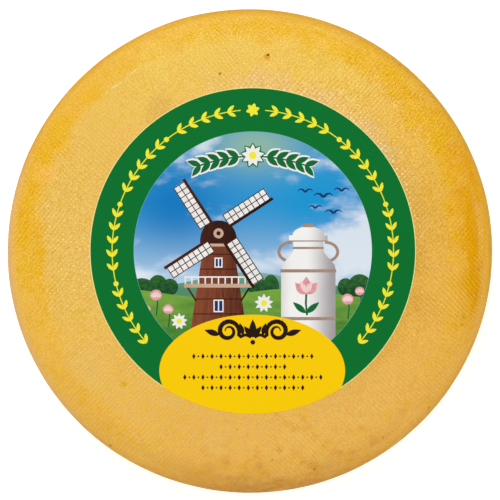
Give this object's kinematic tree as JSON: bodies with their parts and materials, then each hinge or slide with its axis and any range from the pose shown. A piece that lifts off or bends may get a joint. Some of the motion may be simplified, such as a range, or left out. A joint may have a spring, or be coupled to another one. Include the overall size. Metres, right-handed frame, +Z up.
{
  "type": "young gouda",
  "caption": "Whole round wheel of young gouda in a smooth golden coated rind with a cloth imprint, with a round paper label on its flat top.",
  "frame": {"origin": "centre of the wheel's flat foot, on the surface that it stands on", "axes": "+Z up along the wheel's axis, +Y towards the top edge of the label as it is read from above, +X to the label's right"},
  "size_m": [0.25, 0.2494, 0.0957],
  "materials": {
    "rind": "satin",
    "label_paper": "satin"
  },
  "bodies": {
    "root": {"wheel": "rind", "label": "label_paper"}
  },
  "joints": []
}
